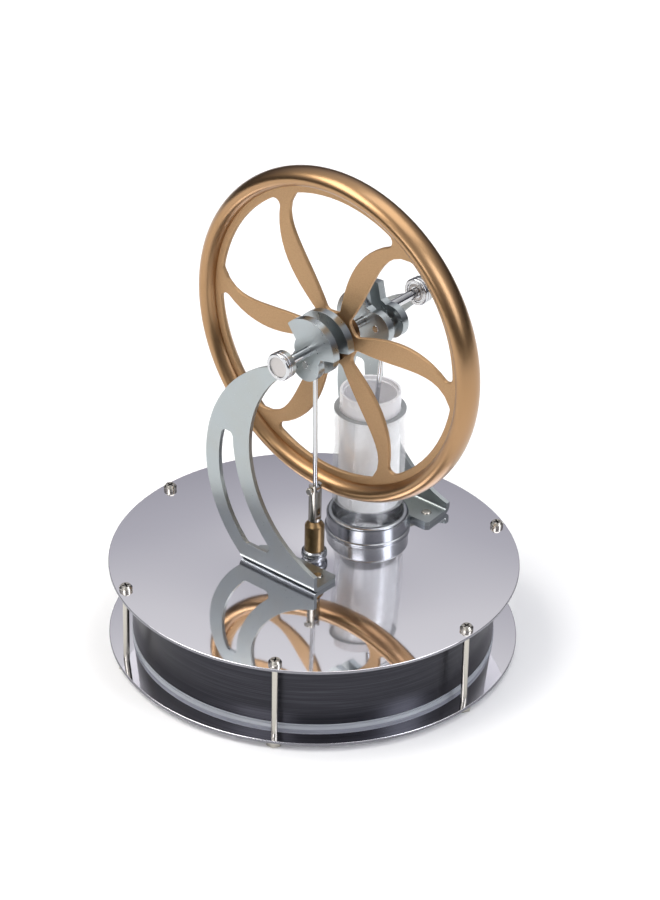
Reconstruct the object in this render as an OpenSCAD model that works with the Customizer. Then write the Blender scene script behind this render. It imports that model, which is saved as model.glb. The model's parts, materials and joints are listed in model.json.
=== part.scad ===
// Low temperature difference Stirling engine, a desk model. Every size is in millimetres.
// Z is up. The flywheel's axle runs along Y, and the two plates are centred on the Z axis.

/* [Base chamber] */
// Diameter of the two round plates
plate_d = 130; // [124:1:140]
// Thickness of each plate
plate_t = 1; // [0.8:0.1:1.5]
// From the top plate's upper face down to the bottom plate's underside
base_h = 27.3; // [27:0.1:32]
// Outside diameter of the chamber wall
wall_d = 115; // [112:1:117]
// Height of each of the two seals on the wall's ends
seal_h = 1.9; // [1.2:0.1:2.5]
// Radius of the circle that the plate screws stand on
screw_ring_r = 62; // [60.5:0.5:62.5]
// Number of plate screws
screw_count = 6; // [4:1:8]
// Height of a plate screw's nut, which is also a foot
nut_h = 2; // [1.6:0.1:2.4]

/* [Displacer] */
// Diameter of the foam disc in the chamber
displacer_d = 107; // [100:1:108]
// Height of the brass gland over the top plate
gland_h = 13.8; // [12:0.2:14]
// Width of the fork across both prongs
fork_w = 4.2; // [3.8:0.1:4.8]
// Height of the clevis pin over the top plate
clevis_z = 25.3; // [24:0.1:27]

/* [Power cylinder] */
// Distance of the cylinder's axis behind the gland's axis
cylinder_y = 26; // [25:0.5:28]
// Outside diameter of the glass cylinder
glass_d = 23; // [22:0.2:23.6]
// Height of the glass over the top plate
glass_h = 44; // [40:1:48]
// Length of the piston
piston_l = 39.6; // [34:0.2:42]
// Height of the piston's lower end over the top plate
piston_z = 10.4; // [9:0.2:14]
// Radial running gap between the piston and the glass
piston_gap = 0.08; // [0.02:0.01:0.1]

/* [Crankshaft] */
// Height of the crankshaft's axis over the top plate
axle_z = 76.4; // [74:0.1:80]
// Diameter of the axle
axle_d = 3; // [2.5:0.1:3.4]
// Throw of both cranks, half of each stroke
throw = 5.2; // [4.6:0.1:5.3]
// Direction of the displacer's crank pin, from +X towards +Z
front_pin_angle = -100; // [-104:1:-96]
// Direction of the piston's crank pin, a quarter turn further on
rear_pin_angle = -10; // [-14:1:-6]
// Thickness of a crank plate
crank_t = 2.7; // [2:0.1:2.8]
// Free space between the two plates of a crank
crank_gap = 4.2; // [4:0.1:4.6]
// Radius of a crank plate's balance sector
sector_r = 10.6; // [9.5:0.1:11]

/* [Flywheel] */
// Outside diameter of the flywheel
wheel_d = 110; // [106:1:112]
// Width of the rounded rim's section, measured along a spoke
rim_w = 6; // [5.6:0.2:7]
// Depth of the rim's section, measured along the axle
rim_depth = 9.4; // [8:0.2:10.4]
// Distance of the wheel's middle plane behind the gland's axis
wheel_y = 8.6; // [8.4:0.1:9]
// Thickness of the spoked web
web_t = 1.5; // [1.2:0.1:2]
// Number of spokes
spoke_count = 6; // [5:1:7]
// Rounding of the windows' corners
window_round = 2.1; // [1:0.1:2.4]

/* [Brackets] */
// Thickness of the brackets' sheet
sheet_t = 1.5; // [1.2:0.1:1.8]
// Outer face of the front bracket
front_y = -16.5; // [-17:0.1:-16]
// Outer face of the rear bracket
rear_y = 50.2; // [50:0.1:52]
// Depth of the front bracket's foot
front_tab = 11.3; // [10:0.1:11.4]
// Depth of the rear bracket's foot
rear_tab = 12.2; // [11:0.1:13]
// Outside radius of the bend between a bracket and its foot
bend_r = 2.3; // [1.8:0.1:2.6]

/* [Hidden] */
$fn = 96;
gap = 0.02;
bottom_z = nut_h;
top_z = nut_h + base_h;
floor_z = bottom_z + plate_t;
ceiling_z = top_z - plate_t;
axis_z = top_z + axle_z;

screw_r = 1;
screw_clear = 0.1;
head_r = 2.1;
head_h = 1.7;
nut_corner_r = 4.4 / 2 / cos(30);

disc_low = 1;
disc_h = 12.2;
displacer_rod_r = 1;
rod_run = 0.04;
gland_r = 3.15;
gland_ring_r = 4.1;
gland_ring_h = 3.4;
fork_top = clevis_z + 1.7;
fork_floor = gland_h + 2.2;
fork_slot = 1.9;
clevis_pin_r = 0.6;

glass_r = glass_d / 2;
glass_wall = 1.7;
bore_r = glass_r - glass_wall;
piston_r = bore_r - piston_gap;
cup_r = 8.3;
piston_floor = 4;
gudgeon_r = 1;
gasket_h = 0.8;
collar_h = 6.4;
collar_r = 13.7;

axle_r = axle_d / 2;
pin_r = 1.2;
lobe_r = 5.5;
eye_t = 1.5;
rod_r = 0.75;
pin_stub = 1;
front_pin = throw * [cos(front_pin_angle), sin(front_pin_angle)];
rear_pin = throw * [cos(rear_pin_angle), sin(rear_pin_angle)];
gudgeon_z = axle_z + rear_pin.y - 56.8;

hub_r = 7.2;
rim_r = wheel_d / 2 - rim_w / 2;
web_r = rim_r - 1.5;
web_front = wheel_y - 1.1;
web_back = web_front + web_t;
window_in = 9;
window_out = 46.8;

housing_r = 4.5;
neck_r = 3.9;
flange_t = 2.1;
housing_l = 4;
bearing_r = 3.3;
ball_r = 0.48;
bearing_t = 2.4;

// A round bar or tube along Y, from y0 to y1, around the point [x, z]
module bar_y(at, y0, y1, r, hole = 0) {
    translate([at.x, y1, at.y]) rotate([90, 0, 0]) difference() {
        cylinder(h = y1 - y0, r = r);
        if (hole > 0) translate([0, 0, -1]) cylinder(h = y1 - y0 + 2, r = hole);
    }
}

// A flat shape drawn in X and Z, given thickness from y0 to y1
module slab_y(y0, y1) {
    translate([0, y1, 0]) rotate([90, 0, 0]) linear_extrude(y1 - y0) children();
}

module ring(z0, z1, r_in, r_out) {
    translate([0, 0, z0]) difference() {
        cylinder(h = z1 - z0, r = r_out);
        translate([0, 0, -1]) cylinder(h = z1 - z0 + 2, r = r_in);
    }
}

module at_screws() {
    for (i = [0 : screw_count - 1]) rotate([0, 0, i * 360 / screw_count])
        translate([screw_ring_r, 0, 0]) children();
}

// ---- Base chamber ----

module plate_blank(z) {
    difference() {
        translate([0, 0, z]) cylinder(h = plate_t, r = plate_d / 2, $fn = 180);
        at_screws() translate([0, 0, z - 1]) cylinder(h = plate_t + 2, r = screw_r + screw_clear);
    }
}

module bottom_plate() {
    color("#d4d3da") plate_blank(bottom_z);
}

module top_plate() {
    color("#d4d3da") difference() {
        plate_blank(ceiling_z);
        translate([0, 0, ceiling_z - 1]) cylinder(h = plate_t + 2, r = 2.4);
        translate([0, cylinder_y, ceiling_z - 1]) cylinder(h = plate_t + 2, r = 4);
        for (p = rivet_places) translate([p.x, p.y, ceiling_z - 1])
            cylinder(h = plate_t + 2, r = rivet_r + gap);
    }
}

module lower_seal() {
    color("#e2e6ea") ring(floor_z, floor_z + seal_h, wall_d / 2 - 2.4, wall_d / 2 + 0.2);
}

module upper_seal() {
    color("#e2e6ea") ring(ceiling_z - seal_h, ceiling_z, wall_d / 2 - 2.4, wall_d / 2 + 0.2);
}

module chamber_wall() {
    color("#4a4a50") ring(floor_z + seal_h, ceiling_z - seal_h, wall_d / 2 - 2, wall_d / 2);
}

// A pan head screw with a cross recess, point down
module plate_screw() {
    difference() {
        union() {
            translate([0, 0, 0.2]) cylinder(h = top_z - 0.2, r = screw_r);
            translate([0, 0, top_z]) cylinder(h = head_h * 0.55, r = head_r);
            translate([0, 0, top_z + head_h * 0.55])
                cylinder(h = head_h * 0.45, r1 = head_r, r2 = head_r * 0.72);
        }
        for (a = [0, 90]) rotate([0, 0, a])
            translate([-1.2, -0.27, top_z + head_h - 0.9]) cube([2.4, 0.54, 2]);
    }
}

module plate_screws() {
    color("#b9b7b2") at_screws() plate_screw();
}

module plate_nuts() {
    color("#c9c9cc") at_screws() difference() {
        cylinder(h = nut_h, r = nut_corner_r, $fn = 6);
        translate([0, 0, -1]) cylinder(h = nut_h + 2, r = screw_r + gap);
    }
}

// ---- Brackets ----

front_left = -16.8;
rear_left = -20.2;
foot_right = 14.2;
// How far the front crescent stands to the right of the rear one, and above it
front_shift = [1.7, 1.55];
rivet_r = 1;
rivet_places = [[-10, front_y + 7.2], [9.5, front_y + 7.2], [-12, rear_y - 7.2], [10.5, rear_y - 7.2]];
outer_arc = [10.2, 32.8, 43.1];
inner_arc = [24.2, 41.6, 39.2];
slot_outer_arc = [10.5, 32.5, 38];
slot_inner_arc = [29.1, 44.4, 50.9];
slot_floor = 5.3;
blade_half = 40;

module disc2(arc) {
    translate([arc.x, arc.y]) circle(r = arc.z, $fn = 180);
}

// The crescent, seen from the front with the plate's face at zero height
module crescent() {
    difference() {
        intersection() {
            disc2(outer_arc);
            union() {
                translate([-blade_half, 0]) square([blade_half, 78]);
                square([blade_half, 14]);
            }
        }
        disc2(inner_arc);
    }
}

// The curved window in the crescent, with rounded ends
module crescent_slot() {
    offset(r = 1.7) offset(delta = -1.7) intersection() {
        difference() {
            disc2(slot_outer_arc);
            disc2(slot_inner_arc);
        }
        translate([-32, slot_floor]) square([26, 38]);
        translate([-25.4, 45.6]) rotate(-20) translate([-20, -60]) square([60, 60]);
    }
}

module bracket_blade(left, shift) {
    difference() {
        union() {
            intersection() {
                translate(shift) crescent();
                translate([left - 40, bend_r]) square([foot_right - left + 40, 80]);
            }
            translate([0, axle_z]) circle(r = housing_r - 0.1);
        }
        translate(shift) crescent_slot();
        translate([0, axle_z]) circle(r = neck_r + gap);
    }
}

// A quarter turn of sheet between the blade, whose outer face is at y = 0, and the foot
module bend(left) {
    intersection() {
        translate([left, bend_r, bend_r]) rotate([0, 90, 0]) difference() {
            cylinder(h = foot_right - left, r = bend_r);
            translate([0, 0, -1]) cylinder(h = foot_right - left + 2, r = bend_r - sheet_t);
        }
        translate([left, 0, 0]) cube([foot_right - left, bend_r, bend_r]);
    }
}

// The foot's outline; depth is measured from the blade's outer face
module foot(left, depth, flare) {
    linear_extrude(sheet_t) polygon([
        [left, bend_r], [foot_right, bend_r], [foot_right + flare, depth - 1],
        [foot_right + flare - 1, depth], [left + 4, depth], [left + 1, depth - 2.5]
    ]);
}

module front_bracket() {
    color("#b9c1c5") difference() {
        union() {
            translate([0, 0, top_z]) slab_y(front_y, front_y + sheet_t) bracket_blade(front_left, front_shift);
            translate([0, front_y, top_z]) {
                bend(front_left);
                foot(front_left, front_tab, 0);
            }
        }
        for (p = rivet_places) translate([p.x, p.y, top_z - 1]) cylinder(h = 4, r = rivet_r + gap);
    }
}

module rear_bracket() {
    color("#b9c1c5") difference() {
        union() {
            translate([0, 0, top_z]) slab_y(rear_y - sheet_t, rear_y) bracket_blade(rear_left, [0, 0]);
            translate([0, rear_y, top_z]) mirror([0, 1, 0]) {
                bend(rear_left);
                foot(rear_left, rear_tab, 0.8);
            }
        }
        for (p = rivet_places) translate([p.x, p.y, top_z - 1]) cylinder(h = 4, r = rivet_r + gap);
        translate([0, cylinder_y, top_z - 1]) cylinder(h = 4, r = collar_r + 0.5);
    }
}

module bracket_rivets() {
    color("#c6ccd0") for (p = rivet_places) translate([p.x, p.y, 0]) {
        translate([0, 0, ceiling_z]) cylinder(h = plate_t + sheet_t, r = rivet_r);
        translate([0, 0, top_z + sheet_t]) cylinder(h = 0.5, r1 = 1.7, r2 = 1.4);
        translate([0, 0, ceiling_z - 0.5]) cylinder(h = 0.5, r = 1.6);
    }
}

// ---- Bearings: side is -1 at the front and 1 at the rear ----

// A housing's closed end, and a place at some depth in from it
function closed_end(side) = side < 0 ? front_y - flange_t : rear_y - sheet_t - flange_t + housing_l;
function inside(side, depth) = closed_end(side) - side * depth;

// A bar or tube along the axle, between two depths
module turned(side, d0, d1, r, hole = 0) {
    a = inside(side, d0);
    b = inside(side, d1);
    bar_y([0, axis_z], min(a, b), max(a, b), r, hole);
}

// A flange in front of the blade, and a neck through it
module housing(side, blade_front) {
    color("#c2c8cd") difference() {
        union() {
            bar_y([0, axis_z], blade_front - flange_t, blade_front, housing_r);
            turned(side, 0, housing_l, neck_r);
        }
        turned(side, -1, housing_l + 1, bearing_r + gap);
    }
}

bearing_in = 1.25;

module bearing_ring(side, r_in, r_out) {
    color("#dfe2e4") turned(side, bearing_in, bearing_in + bearing_t, r_out, r_in);
}

module bearing_balls(side) {
    pitch_r = (bearing_r + axle_r) / 2;
    color("#e8e8e8") for (i = [0 : 6])
        translate([pitch_r * cos(i * 360 / 7), inside(side, bearing_in + bearing_t / 2), axis_z + pitch_r * sin(i * 360 / 7)])
            sphere(r = ball_r - 0.01, $fn = 24);
}

module end_cap(side) {
    color("#cfd4d8") turned(side, 0.35, 1, bearing_r);
}

module front_bearing_housing() { housing(-1, front_y); }
module rear_bearing_housing() { housing(1, rear_y - sheet_t); }
module front_bearing_outer_ring() { bearing_ring(-1, bearing_r - 0.4, bearing_r - gap / 2); }
module rear_bearing_outer_ring() { bearing_ring(1, bearing_r - 0.4, bearing_r - gap / 2); }
module front_bearing_inner_ring() { bearing_ring(-1, axle_r + gap, axle_r + 0.4); }
module rear_bearing_inner_ring() { bearing_ring(1, axle_r + gap, axle_r + 0.4); }
module front_bearing_balls() { bearing_balls(-1); }
module rear_bearing_balls() { bearing_balls(1); }
module front_end_cap() { end_cap(-1); }
module rear_end_cap() { end_cap(1); }

// ---- Displacer gland ----

module gland_ring() {
    color("#cfd2d6") translate([0, 0, top_z]) difference() {
        union() {
            cylinder(h = 1.1, r = gland_ring_r - 0.5);
            translate([0, 0, 1.1]) cylinder(h = gland_ring_h - 1.7, r = gland_ring_r);
            translate([0, 0, gland_ring_h - 0.6])
                cylinder(h = 0.6, r1 = gland_ring_r, r2 = gland_ring_r - 0.6);
        }
        translate([0, 0, -1]) cylinder(h = gland_ring_h + 2, r = gland_r + gap);
    }
}

module gland_body() {
    color("#a88a4a") difference() {
        union() {
            translate([0, 0, ceiling_z - 0.4]) cylinder(h = plate_t + 0.4, r = 2.3);
            translate([0, 0, top_z]) cylinder(h = gland_h - 1.6, r = gland_r);
            translate([0, 0, top_z + gland_h - 1.6])
                cylinder(h = 1.6, r1 = gland_r, r2 = gland_r - 1.15);
        }
        translate([0, 0, ceiling_z - 2]) cylinder(h = gland_h + 5, r = 1.6 + gap);
    }
}

module gland_bush() {
    color("#d8d4c8") ring(ceiling_z - 0.4, top_z + gland_h - 0.3, displacer_rod_r + rod_run, 1.6);
}

// ---- Power cylinder ----

module at_cylinder() {
    translate([0, cylinder_y, top_z]) children();
}

// The collar is a straight ring on a thin foot, and its top edge is rounded
module cylinder_collar() {
    inner = glass_r + 0.05;
    wall = collar_r - 0.5;
    crown = [for (i = [0 : 6]) let (t = i * 15) [wall - 1.1 * (1 - cos(t)), collar_h - 1.1 * (1 - sin(t))]];
    color("#c4c8cc") at_cylinder() rotate_extrude($fn = 120) polygon(concat(
        [[inner, 0], [collar_r, 0], [collar_r, 0.7], [wall, 0.9]], crown, [[inner, collar_h]]
    ));
}

module cylinder_gasket() {
    color("#3c3c3e") at_cylinder() ring(0, gasket_h, bore_r + 0.2, glass_r - 0.05);
}

module glass_cylinder() {
    color([0.85, 0.88, 0.9, 0.4]) at_cylinder() difference() {
        union() {
            translate([0, 0, gasket_h]) cylinder(h = glass_h - gasket_h - 0.4, r = glass_r, $fn = 120);
            translate([0, 0, glass_h - 0.4])
                cylinder(h = 0.4, r1 = glass_r, r2 = glass_r - 0.4, $fn = 120);
        }
        cylinder(h = glass_h + 1, r = bore_r, $fn = 120);
    }
}

// ---- Flywheel: angles in degrees, s runs from 0 at the window's inner end to 1 at the rim ----

function leading_edge(s) = 17.5 + 5 * s - 24.5 * s * s;
function trailing_edge(s) = -9.5 + 24 * s - 16 * s * s - 8 * pow(s, 8);
function on_web(s, a) = let (r = window_in + (window_out - window_in) * s) [r * cos(a), r * sin(a)];

module window() {
    pitch = 360 / spoke_count;
    steps = 14;
    up = [for (i = [0 : steps]) on_web(i / steps, leading_edge(i / steps))];
    rim = [for (i = [1 : 11]) let (t = i / 12)
        on_web(1, leading_edge(1) * (1 - t) + (pitch + trailing_edge(1)) * t)];
    down = [for (i = [steps : -1 : 0]) on_web(i / steps, pitch + trailing_edge(i / steps))];
    offset(r = window_round, $fn = 32) offset(delta = -window_round) polygon(concat(up, rim, down));
}

module at_wheel() {
    translate([0, wheel_y, axis_z]) rotate([90, 0, 0]) children();
}

module flywheel_web() {
    color("#b98e5c") at_wheel() difference() {
        translate([0, 0, wheel_y - web_back]) cylinder(h = web_t, r = web_r, $fn = 180);
        for (i = [0 : spoke_count - 1]) rotate([0, 0, i * 360 / spoke_count])
            translate([0, 0, -3]) linear_extrude(6) window();
        translate([0, 0, -3]) cylinder(h = 6, r = hub_r - 1.2 + gap);
    }
}

// The rim's section is an oval with a groove turned for the web's edge
module flywheel_rim() {
    oval = [for (i = [0 : 47]) [rim_r + rim_w / 2 * cos(7.5 * i), rim_depth / 2 * sin(7.5 * i)]];
    color("#b98e5c") at_wheel() rotate_extrude($fn = 180) difference() {
        polygon(oval);
        translate([0, wheel_y - web_back - gap]) square([web_r + gap, web_t + 2 * gap]);
    }
}

module flywheel_hub() {
    color("#8a6a48") difference() {
        union() {
            bar_y([0, axis_z], wheel_y - 3, web_front, hub_r);
            bar_y([0, axis_z], web_front, web_back, hub_r - 1.2);
            bar_y([0, axis_z], web_back, wheel_y + 4.6, hub_r - 1.4);
        }
        bar_y([0, axis_z], wheel_y - 5, wheel_y + 6, axle_r + gap);
        translate([0, wheel_y + 2.9, axis_z]) cylinder(h = 12, r = 0.8 + gap);
    }
}

module hub_grub_screw() {
    color("#3a3a3c") translate([0, wheel_y + 2.9, axis_z + axle_r + gap]) difference() {
        cylinder(h = 3.4, r = 0.8);
        translate([0, 0, 2.4]) cylinder(h = 2, r = 0.42, $fn = 6);
    }
}

// ---- Crankshaft ----

module main_axle() {
    color("#c8ccd0") bar_y([0, axis_z], crank_gap / 2 + gap, cylinder_y - crank_gap / 2 - gap, axle_r);
}

module front_axle() {
    color("#c8ccd0") bar_y([0, axis_z], inside(-1, 1.1), -crank_gap / 2 - gap, axle_r);
}

module rear_axle() {
    color("#c8ccd0") bar_y([0, axis_z], cylinder_y + crank_gap / 2 + gap, inside(1, 1.1), axle_r);
}

// A round lobe at the pin, a boss at the axle, a balance sector on the other side, and hollow necks between
// them. The sector's middle line leans ten degrees from the pin's opposite.
module crank_outline(pin, pin_angle) {
    mid = pin_angle + 170;
    difference() {
        union() {
            translate(pin) circle(r = lobe_r, $fn = 72);
            circle(r = 5.4, $fn = 72);
            intersection() {
                circle(r = sector_r, $fn = 120);
                rotate(mid) polygon([[-2.6, 0], [6 * cos(64) - 2, 6 * sin(64)], [20 * cos(64), 20 * sin(64)],
                    [30, 0], [20 * cos(64), -20 * sin(64)], [6 * cos(64) - 2, -6 * sin(64)]]);
            }
        }
        circle(r = axle_r + gap);
        translate(pin) circle(r = pin_r + gap);
    }
}

module crank_plate(pin, pin_angle, y0) {
    color("#b9c1c5") translate([0, 0, axis_z]) slab_y(y0, y0 + crank_t) crank_outline(pin, pin_angle);
}

// Two short studs, one in each plate, that stop short of the rod between them
module crank_pin(pin, mid) {
    at = [pin.x, axis_z + pin.y];
    color("#9a9ea2") {
        bar_y(at, mid - crank_gap / 2 - crank_t - 0.15, mid - crank_gap / 2 + pin_stub, pin_r);
        bar_y(at, mid + crank_gap / 2 - pin_stub, mid + crank_gap / 2 + crank_t + 0.15, pin_r);
    }
}

module front_crank_outer_plate() { crank_plate(front_pin, front_pin_angle, -crank_gap / 2 - crank_t); }
module front_crank_inner_plate() { crank_plate(front_pin, front_pin_angle, crank_gap / 2); }
module rear_crank_inner_plate() {
    crank_plate(rear_pin, rear_pin_angle, cylinder_y - crank_gap / 2 - crank_t);
}
module rear_crank_outer_plate() { crank_plate(rear_pin, rear_pin_angle, cylinder_y + crank_gap / 2); }
module front_crank_pin() { crank_pin(front_pin, 0); }
module rear_crank_pin() { crank_pin(rear_pin, cylinder_y); }

// ---- Connecting rods: from is the lower pivot and to the upper one, as [x, z] ----

module con_rod(mid, from, to, eye_r, hole_r, small_r, small_hole) {
    run = to - from;
    length = norm(run);
    color("#c8ccd0") translate([from.x, mid, from.y]) rotate([0, atan2(run.x, run.y), 0]) difference() {
        union() {
            translate([0, 0, small_r * 0.8]) cylinder(h = length - small_r * 0.8 - eye_r * 0.8, r = rod_r);
            rotate([90, 0, 0]) cylinder(h = eye_t, r = small_r, center = true);
            translate([0, 0, length]) rotate([90, 0, 0]) cylinder(h = eye_t, r = eye_r, center = true);
        }
        rotate([90, 0, 0]) cylinder(h = 4, r = small_hole, center = true);
        translate([0, 0, length]) rotate([90, 0, 0]) cylinder(h = 4, r = hole_r, center = true);
    }
}

module big_end_bush(mid, at) {
    color("#a88a4a") bar_y(at, mid - eye_t / 2, mid + eye_t / 2, 1.7, pin_r + 0.05);
}

module displacer_con_rod() {
    con_rod(0, [0, top_z + clevis_z], [front_pin.x, axis_z + front_pin.y], 2.4, 1.7 + gap,
        1.45, clevis_pin_r + 0.05);
}

module piston_con_rod() {
    con_rod(cylinder_y, [0, top_z + gudgeon_z], [rear_pin.x, axis_z + rear_pin.y], 2.4, 1.7 + gap,
        2, gudgeon_r + 0.05);
}

module displacer_big_end_bush() { big_end_bush(0, [front_pin.x, axis_z + front_pin.y]); }
module piston_big_end_bush() { big_end_bush(cylinder_y, [rear_pin.x, axis_z + rear_pin.y]); }

// ---- Displacer ----

module displacer_disc() {
    z0 = floor_z + disc_low + 0.5;
    color("#e9e6df") difference() {
        union() {
            translate([0, 0, z0]) cylinder(h = 1, r1 = displacer_d / 2 - 1, r2 = displacer_d / 2);
            translate([0, 0, z0 + 1]) cylinder(h = disc_h - 2, r = displacer_d / 2);
            translate([0, 0, z0 + disc_h - 1]) cylinder(h = 1, r1 = displacer_d / 2, r2 = displacer_d / 2 - 1);
        }
        translate([0, 0, z0 - 1]) cylinder(h = disc_h + 2, r = displacer_rod_r + gap);
    }
}

module displacer_washers() {
    z0 = floor_z + disc_low;
    color("#b8bcc0") for (z = [z0, z0 + 0.5 + disc_h])
        ring(z, z + 0.5, displacer_rod_r + gap, 6);
}

module displacer_rod() {
    color("#d5d8da") translate([0, 0, floor_z + disc_low])
        cylinder(h = top_z + gland_h + 0.2 - floor_z - disc_low, r = displacer_rod_r);
}

module displacer_fork() {
    color("#c4c8cc") difference() {
        union() {
            intersection() {
                translate([0, 0, top_z + gland_h + 0.2]) cylinder(h = fork_top - gland_h - 0.2, r = fork_w / 2);
                translate([-1.35, -5, top_z]) cube([2.7, 10, 40]);
            }
            translate([0, 0, top_z + gland_h + 0.2]) cylinder(h = 1, r = fork_w / 2 - 0.15);
        }
        translate([-5, -fork_slot / 2, top_z + fork_floor]) cube([10, fork_slot, 30]);
        bar_y([0, top_z + clevis_z], -5, 5, clevis_pin_r + gap);
    }
}

module clevis_pin() {
    color("#b4b8bc") {
        bar_y([0, top_z + clevis_z], -fork_w / 2 - 0.1, fork_w / 2 + 0.3, clevis_pin_r);
        bar_y([0, top_z + clevis_z], -fork_w / 2 - 1.1, -fork_w / 2 - 0.1, 1.25);
    }
}

// ---- Piston ----

// A deep cup with two bosses inside that carry the gudgeon pin
module piston() {
    color("#e6e5e8") at_cylinder() difference() {
        translate([0, 0, piston_z]) cylinder(h = piston_l, r = piston_r, $fn = 120);
        difference() {
            translate([0, 0, piston_z + piston_floor]) cylinder(h = piston_l, r = cup_r, $fn = 120);
            for (side = [-1, 1]) translate([-3, side > 0 ? 2.4 : -12.4, 0])
                cube([6, 10, gudgeon_z + 3]);
        }
        translate([0, 0, piston_z + piston_l - 1.2]) cylinder(h = 2, r = cup_r + 0.6);
        bar_y([0, gudgeon_z], -8.8, 8.8, gudgeon_r + gap);
    }
}

module gudgeon_pin() {
    color("#b4b8bc") at_cylinder() bar_y([0, gudgeon_z], -8.7, 8.7, gudgeon_r);
}

bottom_plate();
lower_seal();
chamber_wall();
upper_seal();
top_plate();
plate_screws();
plate_nuts();
front_bracket();
rear_bracket();
bracket_rivets();
front_bearing_housing();
rear_bearing_housing();
front_bearing_outer_ring();
rear_bearing_outer_ring();
front_bearing_inner_ring();
rear_bearing_inner_ring();
front_bearing_balls();
rear_bearing_balls();
front_end_cap();
rear_end_cap();
gland_ring();
gland_body();
gland_bush();
cylinder_collar();
cylinder_gasket();
glass_cylinder();
flywheel_rim();
flywheel_web();
flywheel_hub();
hub_grub_screw();
main_axle();
front_axle();
rear_axle();
front_crank_outer_plate();
front_crank_inner_plate();
rear_crank_inner_plate();
rear_crank_outer_plate();
front_crank_pin();
rear_crank_pin();
displacer_disc();
displacer_washers();
displacer_rod();
displacer_fork();
clevis_pin();
displacer_con_rod();
displacer_big_end_bush();
piston();
gudgeon_pin();
piston_con_rod();
piston_big_end_bush();
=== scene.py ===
"""Looks of a desk model of a low temperature difference Stirling engine.

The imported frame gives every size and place. Each operator below dresses one piece or one group of like
pieces: turned pieces are profiles carried round an axis, and flat pieces are the frame's own plates with
their sharp edges rounded. Lengths are in metres unless a name says mm.
"""

import json
import math

import bmesh
import bpy
import numpy as np
from bpy.props import FloatProperty, FloatVectorProperty, IntProperty, PointerProperty
from mathutils import Matrix, Vector


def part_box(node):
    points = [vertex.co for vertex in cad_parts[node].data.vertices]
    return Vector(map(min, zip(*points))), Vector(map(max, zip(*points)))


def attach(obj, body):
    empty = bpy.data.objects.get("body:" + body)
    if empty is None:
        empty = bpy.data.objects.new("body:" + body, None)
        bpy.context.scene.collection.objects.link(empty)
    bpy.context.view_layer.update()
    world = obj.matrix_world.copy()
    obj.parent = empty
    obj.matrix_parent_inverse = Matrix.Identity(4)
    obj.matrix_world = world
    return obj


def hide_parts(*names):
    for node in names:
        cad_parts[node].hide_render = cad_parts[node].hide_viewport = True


bl_info = {
    "name": "Stirling engine looks",
    "version": (1, 0, 0),
    "blender": (4, 5, 0),
    "location": "View3D > Sidebar > Engine",
    "description": "Dresses the packed Stirling engine frame with finished pieces",
    "category": "Object",
}

MM = 0.001
RIM_WIDTH = 6 * MM  # along a spoke
SCREW_RING = 62 * MM  # radius of the circle the six screws stand on
NECK_R, BEARING_R = 3.9 * MM, 3.3 * MM
BLADE = 1.5 * MM  # thickness of a bracket's sheet
GLAND_HOLE = 2.4 * MM  # radius of the hole in the top plate
GLAND_BORE, RING_BORE = 1.62 * MM, 3.17 * MM  # radii of the brass body's and the lock ring's bores
GLASS_WALL = 1.7 * MM
CROWN = 1.1 * MM  # round over of the collar's top
SEAM = 0.02 * MM  # gap that keeps two pieces from sharing a surface
ACROSS = (0, 1)
FLOOR_R, FLOOR_SIDES = 0.8, 96
AIM_HEIGHT = 0.06  # the lights face this far above the floor

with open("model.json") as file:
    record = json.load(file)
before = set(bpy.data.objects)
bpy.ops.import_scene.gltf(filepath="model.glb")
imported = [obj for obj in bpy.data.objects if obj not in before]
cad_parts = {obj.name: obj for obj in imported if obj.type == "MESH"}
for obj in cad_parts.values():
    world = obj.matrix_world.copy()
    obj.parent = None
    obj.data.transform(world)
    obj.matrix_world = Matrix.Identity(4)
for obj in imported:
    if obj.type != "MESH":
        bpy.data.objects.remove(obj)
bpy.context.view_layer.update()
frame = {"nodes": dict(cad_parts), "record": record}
NODES = frame["nodes"]
BODY = {node: body for body, members in frame["record"]["behaviour"]["bodies"].items() for node in members}


def linear(code):
    """Turns an sRGB hex colour into the linear RGBA that Blender mixes in."""
    parts = np.array([int(code[i : i + 2], 16) for i in (1, 3, 5)]) / 255
    low, high = parts / 12.92, ((parts + 0.055) / 1.055) ** 2.4
    return (*np.where(parts <= 0.04045, low, high), 1.0)


def colour(name, description, code):
    """A colour property whose default is an sRGB hex value."""
    return FloatVectorProperty(
        name=name, description=description, subtype="COLOR", size=4, min=0, max=1, default=linear(code)
    )


def length(name, description, millimetres):
    """A length property, given in millimetres and kept in metres."""
    return FloatProperty(
        name=name, description=description, default=millimetres * MM, min=0, precision=5,
        subtype="DISTANCE", unit="LENGTH",
    )


def angle_setting(name, description, degrees):
    """An angle property, given in degrees and kept in radians."""
    return FloatProperty(name=name, description=description, default=math.radians(degrees), subtype="ANGLE")


def distance_setting(name, description, metres):
    """A distance property, given in metres."""
    return FloatProperty(name=name, description=description, default=metres, subtype="DISTANCE", unit="LENGTH")


# ---- Settings -------------------------------------------------------------------------------------


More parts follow.
